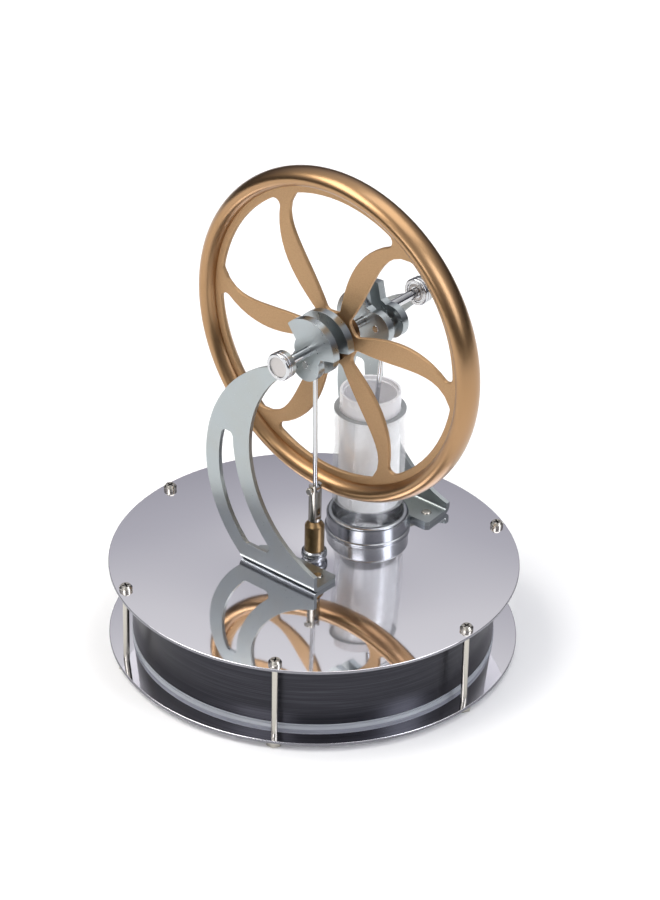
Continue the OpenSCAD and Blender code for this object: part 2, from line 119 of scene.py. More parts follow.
class EngineColours(bpy.types.PropertyGroup):
    """Colours of the engine's finishes."""

    plate: colour("Plate", "Mirror polished stainless steel of the two round plates", "#e6e5ea")
    plate_edge: colour("Plate edge", "Sheared edge of the round plates", "#85858b")
    wall: colour("Chamber wall", "Dark anodised wall between the plates", "#2f2f35")
    # Brighter grey of the wall's brush lines: their own tone, lifted further in broad patches as a painted reflection
    wall_brush_lines_and_sheen: colour("Chamber wall, bright", "Where the brush left the wall brighter", "#4a4a51")
    seal: colour("Seal", "Pale translucent silicone ring under the wall", "#b4b8bf")
    plated: colour("Plated sheet", "Zinc plated sheet of the brackets", "#a8b1b5")
    plated_warm: colour("Plated sheet, warm", "Where the plating is thicker and warmer", "#a7aaa7")
    crank: colour("Crank plates", "Polished and nickel plated crank plates", "#a4a7a7")
    polished: colour("Polished steel", "Axles, rods and bearings", "#c9cacc")
    bronze: colour("Bronze", "Lacquered bronze of the flywheel", "#ad8a66")
    bronze_deep: colour("Bronze, deep", "Bronze in the valleys of its grain", "#a3805a")
    bronze_high: colour("Bronze, high", "Bronze on the tops of its grain", "#caa881")
    brass: colour("Brass", "Turned brass of the gland", "#a58a66")
    brass_dull: colour("Brass, dull", "Brown bloom on the brass", "#7d6545")
    collar: colour("Collar", "Polished aluminium of the collar", "#abadb1")
    piston: colour("Piston", "Milky white of the piston", "#f2f1f4")
    glass: colour("Glass", "Clear glass of the power cylinder", "#f4f8f8")
    ground_glass: colour("Ground glass", "Ground end of the glass", "#9fa1a2")
    # Near black for the screws' cross recesses: grease, with painted shade in the recess
    recess_grease_and_shade: colour("Recess grease and shade", "Dark grease in the recesses of the screws", "#1d1b19")


class EngineSizes(bpy.types.PropertyGroup):
    """Sizes that only the looks have."""

    sheet_edge: length("Sheet edge", "Rounding of the brackets' stamped edges", 0.3)
    crank_edge: length("Crank edge", "Rounding of the crank plates' edges", 0.4)
    turned_edge: length("Turned edge", "Rounding of turned pieces' corners", 0.18)
    web_edge: length("Web edge", "Rounding of the spokes' edges", 0.35)
    grain: length("Bronze grain", "Grain of the blasted spokes, drawn coarse enough to show", 0.4)
    turning: length("Turning pitch", "Distance between turning marks", 0.35)
    brushing: length("Brushing pitch", "Distance between brushed lines on the wall", 0.3)
    segments: IntProperty(name="Segments", description="Faces round a large turned piece", default=288, min=96)


class StageSettings(bpy.types.PropertyGroup):
    """The camera and the studio."""

    azimuth: angle_setting("Azimuth", "Camera's turn to the right", 40.2)
    elevation: angle_setting("Elevation", "Camera above the horizon", 30.57)
    roll: angle_setting("Roll", "Camera's tilt", 1.13)
    distance: distance_setting("Distance", "From the camera to the point it looks at", 1.18474)
    lens: FloatProperty(name="Lens", description="Focal length in mm on a 36 mm sensor", default=149.86)
    aim_right: distance_setting("Aim right", "Aim, right of the origin", 0.00503)
    aim_up: distance_setting("Aim up", "Aim, above the origin along the picture", 0.03437)
    plate_above_aim: distance_setting("Plate height", "How far the top plate lies over the aim's origin", 0.000576)
    floor: colour("Floor", "Pale studio floor", "#fbfbfb")


def colours():
    """The scene's colours for the finishes."""
    return bpy.context.scene.engine_colours


def sizes():
    """The scene's sizes for the looks."""
    return bpy.context.scene.engine_sizes


# ---- Shapes ---------------------------------------------------------------------------------------


def rounded(points, radius, steps=4):
    """A closed outline with each corner swapped for an arc: the arc is a quadratic curve from one side to
    the next, which starts and ends at radius from the corner, or at 0.45 of a shorter side."""
    corners = np.asarray(points, float)
    before, after = np.roll(corners, 1, 0) - corners, np.roll(corners, -1, 0) - corners
    sides = [np.linalg.norm(v, axis=1) for v in (before, after)]
    reach = np.minimum(radius, 0.45 * np.minimum(*sides))[:, None]
    start = corners + before / sides[0][:, None] * reach
    end = corners + after / sides[1][:, None] * reach
    t = np.linspace(0, 1, steps + 1)[None, :, None]
    arcs = (1 - t) ** 2 * start[:, None] + 2 * t * (1 - t) * corners[:, None] + t**2 * end[:, None]
    return arcs.reshape(-1, 2)


def turned(profile, centre, axis="Z", segments=96):
    """Points and faces of a profile of (radius, height) carried round an axis through centre: a point at
    angle a stands at radius*cos(a), radius*sin(a) across the axis and at its height along it."""
    radius, height = np.asarray(profile, float).T
    angle = np.linspace(0, 2 * np.pi, segments, endpoint=False)
    a, r = np.meshgrid(angle, radius, indexing="ij")
    h = np.broadcast_to(height, a.shape)
    if axis == "Z":
        points = np.stack([r * np.cos(a), r * np.sin(a), h], -1)
    else:
        points = np.stack([r * np.sin(a), h, r * np.cos(a)], -1)
    i, j = np.meshgrid(np.arange(segments), np.arange(len(radius)), indexing="ij")
    i2, j2 = (i + 1) % segments, (j + 1) % len(radius)
    row = len(radius)
    faces = np.stack([i * row + j, i2 * row + j, i2 * row + j2, i * row + j2], -1)
    return points.reshape(-1, 3) + np.asarray(centre), faces.reshape(-1, 4)


def make_piece(name, shapes, material, sharp=35):
    """One mesh object from one or more (points, faces) pairs, its seams merged and its faces outwards."""
    points, faces, used = [], [], 0
    for some_points, some_faces in shapes:
        points.append(some_points)
        faces += (np.asarray(some_faces) + used).tolist()
        used += len(some_points)
    mesh = bpy.data.meshes.new(name)
    mesh.from_pydata(np.concatenate(points), [], faces)
    tidy(mesh)
    return finish_piece(name, mesh, material, sharp)


def tidy(mesh, flat=0.0):
    """Merges doubled points, drops faces of no area, joins flat neighbours if asked, and turns faces out."""
    work = bmesh.new()
    work.from_mesh(mesh)
    bmesh.ops.remove_doubles(work, verts=work.verts, dist=1e-6)
    bmesh.ops.dissolve_degenerate(work, edges=work.edges, dist=1e-7)
    if flat:
        bmesh.ops.dissolve_limit(work, angle_limit=flat, verts=work.verts, edges=work.edges)
    bmesh.ops.recalc_face_normals(work, faces=work.faces)
    work.to_mesh(mesh)
    work.free()


def finish_piece(name, mesh, material, sharp):
    """An object for the mesh, smooth but for edges sharper than the given angle."""
    mesh.shade_smooth()
    mesh.set_sharp_from_angle(angle=math.radians(sharp))
    mesh.materials.clear()
    mesh.materials.append(material)
    piece = bpy.data.objects.new(name, mesh)
    bpy.context.scene.collection.objects.link(piece)
    return piece


def stand_for(piece, *nodes):
    """The piece rides on its nodes' body and hides them."""
    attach(piece, BODY[nodes[0]])
    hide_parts(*nodes)


def turned_piece(node, profile, material, axis="Z", centre=(0, 0, 0), edge=None, segments=96, name=None):
    """A turned piece that stands for a node. The profile is in metres, its corners rounded by edge."""
    edge = sizes().turned_edge if edge is None else edge
    outline = rounded(profile, edge) if edge else np.asarray(profile)
    piece = make_piece(name or node + "_turned", [turned(outline, centre, axis, segments)], material)
    stand_for(piece, node)
    return piece


def softened(node, edge, material, steps=3):
    """A merged copy of a node with its flat faces joined and its sharp edges rounded by a bevel."""
    source = NODES[node].data
    points = np.empty(len(source.vertices) * 3)
    source.vertices.foreach_get("co", points)
    mesh = bpy.data.meshes.new(node + "_soft")
    mesh.from_pydata(points.reshape(-1, 3), [], [list(face.vertices) for face in source.polygons])
    tidy(mesh, flat=math.radians(0.4))
    piece = finish_piece(node + "_soft", mesh, material, 30)
    bevel = piece.modifiers.new("edges", "BEVEL")
    bevel.width, bevel.segments = edge, steps
    bevel.limit_method, bevel.angle_limit = "ANGLE", math.radians(35)
    piece.modifiers.new("shading", "WEIGHTED_NORMAL").keep_sharp = True
    stand_for(piece, node)
    return piece


def dress(node, material):
    """Gives a frame node that keeps its own shape its finish."""
    mesh = NODES[node].data
    mesh.materials.clear()
    mesh.materials.append(material)


def second_finish(piece, material, chosen):
    """Gives a second material to the faces that chosen picks from their centres and normals."""
    mesh = piece.data
    count = len(mesh.polygons)
    centres, ways = np.empty(count * 3), np.empty(count * 3)
    mesh.polygons.foreach_get("center", centres)
    mesh.polygons.foreach_get("normal", ways)
    mesh.materials.append(material)
    picked = chosen(centres.reshape(-1, 3), ways.reshape(-1, 3))
    mesh.polygons.foreach_set("material_index", picked.astype(np.int32) * (len(mesh.materials) - 1))


def span(node, axis):
    """Lowest and highest place of a node along an axis, 0 for X, 1 for Y and 2 for Z."""
    low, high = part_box(node)
    return low[axis], high[axis]


def middle(node):
    """Middle of a node's box."""
    low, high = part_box(node)
    return (low + high) / 2


def outer_radius(node, axes=(0, 1, 2)):
    """Half of the longest side that a node's box has along the given axes."""
    low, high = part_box(node)
    return max(high[k] - low[k] for k in axes) / 2


# ---- Finishes -------------------------------------------------------------------------------------


def add(tree, kind, values=None, feed=None, **settings):
    """Adds a node with its settings, its sockets' values, and links from other nodes' outputs."""
    made = tree.nodes.new(kind)
    for key, value in settings.items():
        setattr(made, key, value)
    for key, value in (values or {}).items():
        made.inputs[key].default_value = value
    for key, output in (feed or {}).items():
        tree.links.new(output, made.inputs[key])
    return made


def start(name, base, metallic, roughness):
    """A material with its shader set, and the object's own coordinates to read patterns from."""
    material = bpy.data.materials.new(name)
    material.use_nodes = True
    tree = material.node_tree
    shader = tree.nodes["Principled BSDF"]
    shader.inputs["Base Color"].default_value = base
    shader.inputs["Metallic"].default_value = metallic
    shader.inputs["Roughness"].default_value = roughness
    place = add(tree, "ShaderNodeTexCoord").outputs["Object"]
    return material, tree, shader, place


def vary_roughness(tree, shader, factor, low, high):
    """Roughness runs from low to high as the factor goes from 0 to 1."""
    ramp = add(tree, "ShaderNodeMapRange", {"To Min": low, "To Max": high}, {"Value": factor})
    tree.links.new(ramp.outputs["Result"], shader.inputs["Roughness"])


def vary_colour(tree, shader, factor, first, second):
    """Base colour runs from the first to the second as the factor goes from 0 to 1."""
    mix = add(tree, "ShaderNodeMix", {"A": first, "B": second}, {"Factor": factor}, data_type="RGBA")
    tree.links.new(mix.outputs[2], shader.inputs["Base Color"])


def raise_surface(tree, shader, height, depth, strength=1.0):
    """Bump: the surface seems raised by up to depth metres where height is 1."""
    bump = add(tree, "ShaderNodeBump", {"Strength": strength, "Distance": depth}, {"Height": height})
    tree.links.new(bump.outputs["Normal"], shader.inputs["Normal"])


def noise(tree, place, size, detail=2.0, roughness=0.5):
    """Noise whose lumps are about size metres across."""
    return add(tree, "ShaderNodeTexNoise", {"Scale": 1 / size, "Detail": detail, "Roughness": roughness},
               {"Vector": place}).outputs["Fac"]


def stretched(tree, place, scale):
    """The same coordinates, squeezed along each axis by its scale."""
    mapping = add(tree, "ShaderNodeMapping", {"Scale": scale}, {"Vector": place}, vector_type="POINT")
    return mapping.outputs["Vector"]


def around(tree, place, pitch, run, axis, centre=(0, 0, 0)):
    """Fine lines that run round an axis: noise on the radius and the height, drawn out along the turn."""
    moved = add(tree, "ShaderNodeMapping", {"Location": [-c for c in centre]}, {"Vector": place}).outputs["Vector"]
    parts = add(tree, "ShaderNodeSeparateXYZ", feed={"Vector": moved}).outputs
    across, along = ((parts["X"], parts["Y"]), parts["Z"]) if axis == "Z" else ((parts["X"], parts["Z"]), parts["Y"])
    squares = [add(tree, "ShaderNodeMath", {1: 2.0}, {0: part}, operation="POWER").outputs[0] for part in across]
    total = add(tree, "ShaderNodeMath", feed={0: squares[0], 1: squares[1]}, operation="ADD").outputs[0]
    radius = add(tree, "ShaderNodeMath", {1: 0.5}, {0: total}, operation="POWER").outputs[0]
    angle = add(tree, "ShaderNodeMath", feed={0: across[1], 1: across[0]}, operation="ARCTAN2").outputs[0]
    slow = add(tree, "ShaderNodeMath", {1: pitch / run}, {0: angle}, operation="MULTIPLY").outputs[0]
    slow = add(tree, "ShaderNodeMath", feed={0: slow, 1: radius}, operation="MULTIPLY").outputs[0]
    wrapped = add(tree, "ShaderNodeCombineXYZ", feed={"X": radius, "Y": along, "Z": slow}).outputs[0]
    return noise(tree, wrapped, pitch, 3)


def kept(maker):
    """Makes each finish once, and gives the same material after that."""
    made = {}

    def get(*args):
        if args not in made:
            made[args] = maker(*args)
        return made[args]

    return get


@kept
def mirror_steel():
    """Stainless steel, mirror polished: a clean reflection, dulled here and there by handling."""
    material, tree, shader, place = start("mirror polished stainless steel", colours().plate, 1.0, 0.05)
    wiped = noise(tree, stretched(tree, place, (1, 3, 1)), 14 * MM, 4)
    vary_roughness(tree, shader, wiped, 0.02, 0.08)
    raise_surface(tree, shader, noise(tree, place, 30 * MM, 1), 0.02 * MM, 0.3)
    return material


@kept
def sheared_edge():
    """The plates' sheared edges: the same steel, with fine lines round the edge that scatter light."""
    material, tree, shader, place = start("sheared stainless edge", colours().plate_edge, 1.0, 0.25)
    vary_roughness(tree, shader, around(tree, place, 0.2 * MM, 12 * MM, "Z"), 0.15, 0.4)
    return material


@kept
def anodised_wall():
    """Aluminium tube, brushed round its length and anodised dark grey: satin, with thin bright brush lines, lifted
    further in broad patches of painted reflection.
    """
    material, tree, shader, place = start("brushed dark anodised aluminium", colours().wall, 0.8, 0.36)
    lines = around(tree, place, sizes().brushing, 30 * MM, "Z")
    thin = add(tree, "ShaderNodeMapRange", {"From Min": 0.45, "From Max": 0.75}, {"Value": lines}).outputs["Result"]
    # Broad patches where the brush lines are lightened further: a painted reflection
    sheen_patches = noise(tree, place, 28 * MM, 2)
    both = add(tree, "ShaderNodeMath", feed={0: thin, 1: sheen_patches}, operation="MULTIPLY").outputs[0]
    vary_colour(tree, shader, both, colours().wall, colours().wall_brush_lines_and_sheen)
    vary_roughness(tree, shader, lines, 0.24, 0.36)
    raise_surface(tree, shader, lines, 0.02 * MM, 0.3)
    return material


@kept
def silicone():
    """Cast translucent silicone: light enters it and comes back milky, under a soft wet gloss."""
    material, tree, shader, place = start("translucent cast silicone", colours().seal, 0.0, 0.22)
    shader.inputs["Subsurface Weight"].default_value = 0.5
    shader.inputs["Subsurface Radius"].default_value = (1.0, 1.0, 1.1)
    shader.inputs["Subsurface Scale"].default_value = 1.2 * MM
    vary_roughness(tree, shader, noise(tree, place, 3 * MM), 0.14, 0.3)
    return material


@kept
def zinc_plate():
    """Stamped sheet with bright zinc plating: a soft blue-grey reflection with a faint warm cloud in it."""
    material, tree, shader, place = start("bright zinc plated sheet", colours().plated, 1.0, 0.3)
    vary_colour(tree, shader, noise(tree, place, 9 * MM, 3), colours().plated, colours().plated_warm)
    fine = noise(tree, place, 0.6 * MM, 3)
    vary_roughness(tree, shader, fine, 0.24, 0.36)
    raise_surface(tree, shader, fine, 0.004 * MM, 0.3)
    return material


@kept
def crank_plate():
    """Cranks cut from plate, polished and nickel plated: a clear but softened reflection, slightly warm."""
    material, tree, shader, place = start("nickel plated crank steel", colours().crank, 1.0, 0.28)
    vary_roughness(tree, shader, noise(tree, place, 2.5 * MM, 3), 0.24, 0.34)
    vary_colour(tree, shader, noise(tree, place, 6 * MM, 2), colours().crank, colours().plated)
    return material


@kept
def ground_rod():
    """Centreless ground and polished steel bar: mirror-like, with faint duller stretches."""
    material, tree, shader, place = start("ground and polished steel bar", colours().polished, 1.0, 0.12)
    vary_roughness(tree, shader, noise(tree, place, 1.2 * MM, 3), 0.06, 0.18)
    return material


@kept
def turned_steel(axis, centre):
    """Steel turned on a lathe: bright, with fine rings left by the tool."""
    material, tree, shader, place = start("lathe turned steel", colours().polished, 1.0, 0.18)
    rings = around(tree, place, sizes().turning, 30 * MM, axis, centre)
    vary_roughness(tree, shader, rings, 0.12, 0.3)
    raise_surface(tree, shader, rings, 0.01 * MM, 0.4)
    return material


@kept
def faced_cap():
    """The bearing's cap, faced flat and left dull: pale warm grey with no clear reflection."""
    material, tree, shader, place = start("faced zinc cap", linear("#c9c5c3"), 0.85, 0.45)
    vary_roughness(tree, shader, noise(tree, place, 0.5 * MM, 3), 0.36, 0.55)
    return material


@kept
def screw_steel():
    """Nickel plated screws and pins: hard bright highlights, slightly yellow."""
    material, tree, shader, place = start("nickel plated fasteners", linear("#bdb9b0"), 1.0, 0.18)
    vary_roughness(tree, shader, noise(tree, place, 0.8 * MM, 3), 0.1, 0.28)
    return material


@kept
def recess_grease_and_shade_finish():
    """Grease and painted shade in a screw's cross recess: nearly black, with a faint oily gloss."""
    material, tree, shader, place = start("screw recess grease and painted shade", colours().recess_grease_and_shade, 0.5, 0.5)
    vary_roughness(tree, shader, noise(tree, place, 0.3 * MM), 0.35, 0.6)
    return material


@kept
def bronze_rim():
    """Turned bronze under clear lacquer: a broad satin highlight that runs along the rim, with fine rings."""
    material, tree, shader, place = start("lacquered turned bronze", colours().bronze, 1.0, 0.28)
    rings = around(tree, place, 0.5 * MM, 60 * MM, "Y", tuple(middle("flywheel_rim")))
    vary_roughness(tree, shader, rings, 0.27, 0.36)
    raise_surface(tree, shader, rings, 0.004 * MM, 0.3)
    vary_colour(tree, shader, noise(tree, place, 20 * MM, 2), colours().bronze, colours().bronze_deep)
    shader.inputs["Coat Weight"].default_value = 0.2
    shader.inputs["Coat Roughness"].default_value = 0.12
    return material


@kept
def bronze_web():
    """Bead blasted bronze: an even matte sparkle of small grains, the same from every side."""
    material, tree, shader, place = start("bead blasted bronze", colours().bronze, 0.85, 0.5)
    grains = noise(tree, place, sizes().grain, 3, 0.7)
    vary_colour(tree, shader, grains, colours().bronze_deep, colours().bronze_high)
    vary_roughness(tree, shader, grains, 0.4, 0.6)
    raise_surface(tree, shader, grains, 0.05 * MM, 0.5)
    return material


@kept
def hub_bronze_painted_shade():
    """The hub's turned bronze, its colour darkened to paint the shade that falls on the hub."""
    material, tree, shader, place = start("turned bronze hub in painted shade", linear("#6d5036"), 1.0, 0.32)
    rings = around(tree, place, sizes().turning, 30 * MM, "Y", tuple(middle("flywheel_hub")))
    raise_surface(tree, shader, rings, 0.02 * MM, 0.5)
    return material


@kept
def gland_brass():
    """Turned brass, slightly aged: warm, with rings from the tool and a dull brown bloom."""
    material, tree, shader, place = start("turned brass", colours().brass, 1.0, 0.24)
    rings = around(tree, place, 0.3 * MM, 20 * MM, "Z")
    vary_roughness(tree, shader, rings, 0.26, 0.4)
    raise_surface(tree, shader, rings, 0.003 * MM, 0.4)
    vary_colour(tree, shader, noise(tree, place, 2.5 * MM, 3), colours().brass, colours().brass_dull)
    return material


@kept
def collar_aluminium(centre):
    """Turned and polished aluminium: cold and bright, with turning rings."""
    material, tree, shader, place = start("turned polished aluminium", colours().collar, 1.0, 0.2)
    rings = around(tree, place, 0.4 * MM, 40 * MM, "Z", centre)
    vary_roughness(tree, shader, rings, 0.16, 0.3)
    raise_surface(tree, shader, rings, 0.01 * MM, 0.3)
    return material


@kept
def nitrile():
    """Black nitrile rubber gasket: matte and slightly dusty."""
    material, tree, shader, place = start("black nitrile rubber", linear("#232325"), 0.0, 0.6)
    vary_roughness(tree, shader, noise(tree, place, 0.6 * MM), 0.5, 0.75)
    return material


@kept
def clear_glass():
    """Borosilicate tube, drawn and fire polished: clear, with sharp reflections at its edges. Part of its
    clearness is opacity, so that light reaches the piston behind it straight."""
    material, tree, shader, place = start("borosilicate glass tube", colours().glass, 0.0, 0.02)
    shader.inputs["Transmission Weight"].default_value = 1.0
    shader.inputs["IOR"].default_value = 1.47
    shader.inputs["Alpha"].default_value = 0.35
    shader.inputs["Specular IOR Level"].default_value = 1.0
    vary_roughness(tree, shader, noise(tree, place, 6 * MM), 0.0, 0.03)
    return material


@kept
def ground_glass():
    """The tube's ground end: fine scratches scatter the light, so it looks grey and opaque."""
    material, tree, shader, place = start("ground glass end", colours().ground_glass, 0.0, 0.55)
    fine = noise(tree, place, 0.4 * MM, 3)
    vary_colour(tree, shader, fine, linear("#8d9091"), linear("#a9acad"))
    raise_surface(tree, shader, fine, 0.02 * MM, 0.5)
    return material


@kept
def milky_polymer():
    """Moulded white polymer with a light glaze: milky, because light travels a little way into it."""
    material, tree, shader, place = start("milky moulded polymer", colours().piston, 0.0, 0.25)
    shader.inputs["Subsurface Weight"].default_value = 0.35
    shader.inputs["Subsurface Radius"].default_value = (1.0, 0.97, 0.97)
    shader.inputs["Subsurface Scale"].default_value = 2.5 * MM
    vary_roughness(tree, shader, noise(tree, place, 4 * MM, 3), 0.18, 0.34)
    return material


@kept
def bush_polymer():
    """Machined off-white bearing polymer: dull, with rings from the tool."""
    material, tree, shader, place = start("machined bearing polymer", linear("#dcd8cc"), 0.0, 0.45)
    vary_roughness(tree, shader, around(tree, place, 0.25 * MM, 10 * MM, "Z"), 0.38, 0.55)
    return material


@kept
def rigid_foam():
    """Rigid white foam: closed cells that make a dry, pitted surface."""
    material, tree, shader, place = start("rigid closed cell foam", linear("#ebe8e0"), 0.0, 0.85)
    cells = add(tree, "ShaderNodeTexVoronoi", {"Scale": 1 / (0.9 * MM)}, {"Vector": place}).outputs["Distance"]
    vary_colour(tree, shader, cells, linear("#f1eee6"), linear("#d9d5ca"))
    raise_surface(tree, shader, cells, 0.15 * MM, 0.5)
    return material


@kept
def black_oxide():
    """Alloy steel with black oxide: nearly black, with a faint oily gloss."""
    material, tree, shader, place = start("black oxide steel", linear("#2a2a2c"), 0.9, 0.4)
    vary_roughness(tree, shader, noise(tree, place, 0.5 * MM), 0.3, 0.5)
    return material


# ---- Operators: one for each piece or group of like pieces ------------------------------------------


class ENGINE_OT_plates(bpy.types.Operator):
    """Two round plates, sheared from mirror polished sheet"""

    bl_idname = "engine.plates"
    bl_label = "Round plates"

    def execute(self, context):
        for node, hole in (("bottom_plate", 0.0), ("top_plate", GLAND_HOLE)):
            low, high = span(node, 2)
            radius = outer_radius(node)
            edge = 0.3 * (high - low)
            if hole:
                profile = rounded([(hole, low), (radius, low), (radius, high), (hole, high)], edge, 5)
            else:
                inner = radius - 3 * MM
                rim = rounded([(inner, low), (radius, low), (radius, high), (inner, high)], edge, 5)
                rim = rim[rim[:, 0] > radius - 2 * MM]
                profile = np.concatenate([[(0, low)], rim, [(0, high)]])
            shape = turned(profile, (0, 0, 0), "Z", sizes().segments)
            piece = make_piece(node + "_polished", [shape], mirror_steel(), 60)
            second_finish(piece, sheared_edge(), lambda points, ways: (
                (np.abs(ways[:, 2]) < 0.7) & (np.hypot(points[:, 0], points[:, 1]) > radius - 1 * MM)))
            stand_for(piece, node)
        return {"FINISHED"}


class ENGINE_OT_chamber(bpy.types.Operator):
    """The chamber's dark wall and its two seals"""

    bl_idname = "engine.chamber"
    bl_label = "Chamber wall and seals"

    def execute(self, context):
        low, high = span("chamber_wall", 2)
        radius = outer_radius("chamber_wall")
        wall = [(radius - 2 * MM, low), (radius, low), (radius, high), (radius - 2 * MM, high)]
        turned_piece("chamber_wall", wall, anodised_wall(), edge=0.25 * MM, segments=sizes().segments)
        for node in ("lower_seal", "upper_seal"):
            low, high = span(node, 2)
            radius = outer_radius(node)
            # A lip at each end and a shallow channel between them
            waist = 0.5 * MM
            t = np.linspace(0, 1, 17)
            outside = np.stack([radius - waist * np.sin(np.pi * t) ** 2, low + (high - low) * t], -1)
            inside = [(radius - 2.6 * MM, high), (radius - 2.6 * MM, low)]
            profile = np.concatenate([outside, inside])
            turned_piece(node, profile, silicone(), edge=0.12 * MM, segments=sizes().segments)
        return {"FINISHED"}


class ENGINE_OT_fasteners(bpy.types.Operator):
    """Pan head screws whose cross recess is coloured dark with grease and painted shade, foot nuts and the brackets'
    rivets
    """

    bl_idname = "engine.fasteners"
    bl_label = "Screws, nuts and rivets"

    def execute(self, context):
        screws = softened("plate_screws", 0.1 * MM, screw_steel(), 2)
        top = span("plate_screws", 2)[1]
        # The cross recess faces get the near-black finish of grease and painted shade
        second_finish(screws, recess_grease_and_shade_finish(), lambda points, ways: recessed(points, ways, top))
        softened("plate_nuts", 0.2 * MM, screw_steel(), 2)
        softened("bracket_rivets", 0.15 * MM, screw_steel(), 2)
        return {"FINISHED"}


def recessed(points, ways, top):
    """True for faces in a screw's cross: within 1.35 mm of its axis, under the head's crown, and not
    part of the domed outside, whose faces look up and away from the axis."""
    ring = np.hypot(points[:, 0], points[:, 1])
    turn = np.round(np.arctan2(points[:, 1], points[:, 0]) / (np.pi / 3)) * np.pi / 3
    axis = SCREW_RING * np.stack([np.cos(turn), np.sin(turn)], -1)
    near = np.hypot(*(points[:, :2] - axis).T) < 1.35 * MM
    return near & (ring > 50 * MM) & (points[:, 2] > top - 1.25 * MM) & (
        (ways[:, 2] < 0.3) | ((ways[:, 2] > 0.9) & (points[:, 2] < top - 0.45 * MM)))


class ENGINE_OT_brackets(bpy.types.Operator):
    """Two curved brackets stamped from sheet"""

    bl_idname = "engine.brackets"
    bl_label = "Curved brackets"

    def execute(self, context):
        for node in ("front_bracket", "rear_bracket"):
            softened(node, sizes().sheet_edge, zinc_plate(), 3)
        return {"FINISHED"}


class ENGINE_OT_bearings(bpy.types.Operator):
    """Bearing housings with their rings, balls and end caps"""

    bl_idname = "engine.bearings"
    bl_label = "Bearings"

    def execute(self, context):
        for side in ("front", "rear"):
            housing, cap = side + "_bearing_housing", side + "_end_cap"
            low, high = span(housing, 1)
            blade = span(side + "_bracket", 1)
            # The flange stands before the bracket's blade, and the neck goes through it
            flange = blade[0] if side == "front" else blade[1] - BLADE
            centre = (0, 0, middle(housing).z)
            rim, bore = outer_radius(housing), BEARING_R + SEAM
            groove = low + 0.62 * (flange - low)
            depth = rim - 0.3 * MM
            profile = [(bore, low), (rim - 0.35 * MM, low), (rim, low + 0.35 * MM), (rim, groove - 0.14 * MM),
                       (depth, groove - 0.1 * MM), (depth, groove + 0.1 * MM), (rim, groove + 0.14 * MM),
                       (rim, flange), (NECK_R, flange), (NECK_R, high), (bore, high)]
            turned_piece(housing, profile, turned_steel("Y", centre), "Y", centre, 0.12 * MM, 128)
            low, high = span(cap, 1)
            radius = outer_radius(cap)
            turned_piece(cap, [(0, low), (radius, low), (radius, high), (0, high)], faced_cap(), "Y",
                         centre, 0.12 * MM, 96)
            # A pressed shield closes the bearing's open side, and its balls are behind it
            rings = span(side + "_bearing_outer_ring", 1)
            low = rings[1] - 0.35 * MM if side == "front" else rings[0] + 0.1 * MM
            high = low + 0.25 * MM
            inner, outer, step = 1.96 * MM, 2.85 * MM, low + 0.08 * MM
            shield = [(inner, low), (2.2 * MM, low), (2.35 * MM, step), (outer, step), (outer, high), (inner, high)]
            turned_piece(side + "_bearing_balls", shield, faced_cap(), "Y", centre, 0.05 * MM, 96,
                         side + "_bearing_shield")
            for part in ("_bearing_outer_ring", "_bearing_inner_ring"):
                dress(side + part, ground_rod())
        return {"FINISHED"}


class ENGINE_OT_gland(bpy.types.Operator):
    """The displacer rod's gland: a grooved lock ring, a brass body and its bush"""

    bl_idname = "engine.gland"
    bl_label = "Displacer gland"

    def execute(self, context):
        low, high = span("gland_ring", 2)
        radius = outer_radius("gland_ring")
        # How far inside its radius the ring's outline runs in millimetres, and at what share of its height
        outline = np.array([(0.5, 0), (0.5, 0.3), (0, 0.36), (0, 0.56), (0.35, 0.6), (0.35, 0.66), (0, 0.7),
                            (0.1, 0.84), (0.7, 1)])
        outline = np.stack([radius - outline[:, 0] * MM, low + outline[:, 1] * (high - low)], -1)
        profile = np.concatenate([[(RING_BORE, low)], outline, [(RING_BORE, high)]])
        turned_piece("gland_ring", profile, collar_aluminium((0.0, 0.0, 0.0)), edge=0.1 * MM)
        low, high = span("gland_body", 2)
        base = span("top_plate", 2)[1]
        radius = outer_radius("gland_body", ACROSS)
        thread = 2.3 * MM
        profile = [(GLAND_BORE, low), (thread, low), (thread, base), (radius, base), (radius, high - 1.6 * MM),
                   (radius - 1.15 * MM, high), (GLAND_BORE, high)]
        turned_piece("gland_body", profile, gland_brass(), edge=0.3 * MM)
        dress("gland_bush", bush_polymer())
        return {"FINISHED"}


class ENGINE_OT_power_cylinder(bpy.types.Operator):
    """The glass power cylinder on its gasket and turned collar"""

    bl_idname = "engine.power_cylinder"
    bl_label = "Power cylinder"

    def execute(self, context):
        centre = middle("glass_cylinder")
        axis = (centre.x, centre.y, 0)
        low, high = span("cylinder_collar", 2)
        glass = outer_radius("glass_cylinder", ACROSS)
        radius, bore = outer_radius("cylinder_collar", ACROSS), glass + 0.05 * MM
        # A thin foot, a straight wall and a round crown
        wall = radius - 0.5 * MM
        t = np.linspace(0, np.pi / 2, 13)
        crown = np.stack([wall - CROWN * (1 - np.cos(t)), high - CROWN * (1 - np.sin(t))], -1)
        foot = [(bore, low), (radius, low), (radius, low + 0.7 * MM), (wall, low + 0.9 * MM)]
        profile = np.concatenate([foot, crown, [(bore, high)]])
        turned_piece("cylinder_collar", profile, collar_aluminium(axis), centre=axis, edge=0.1 * MM, segments=160)
        dress("cylinder_gasket", nitrile())
        low, high = span("glass_cylinder", 2)
        bore = glass - GLASS_WALL
        profile = rounded([(bore, low), (glass, low), (glass, high), (bore, high)], 0.35 * MM, 6)
        piece = make_piece("glass_cylinder_tube", [turned(profile, axis, "Z", 160)], clear_glass())
        second_finish(piece, ground_glass(), lambda points, ways: points[:, 2] > high - 0.3 * MM)
        stand_for(piece, "glass_cylinder")
        return {"FINISHED"}


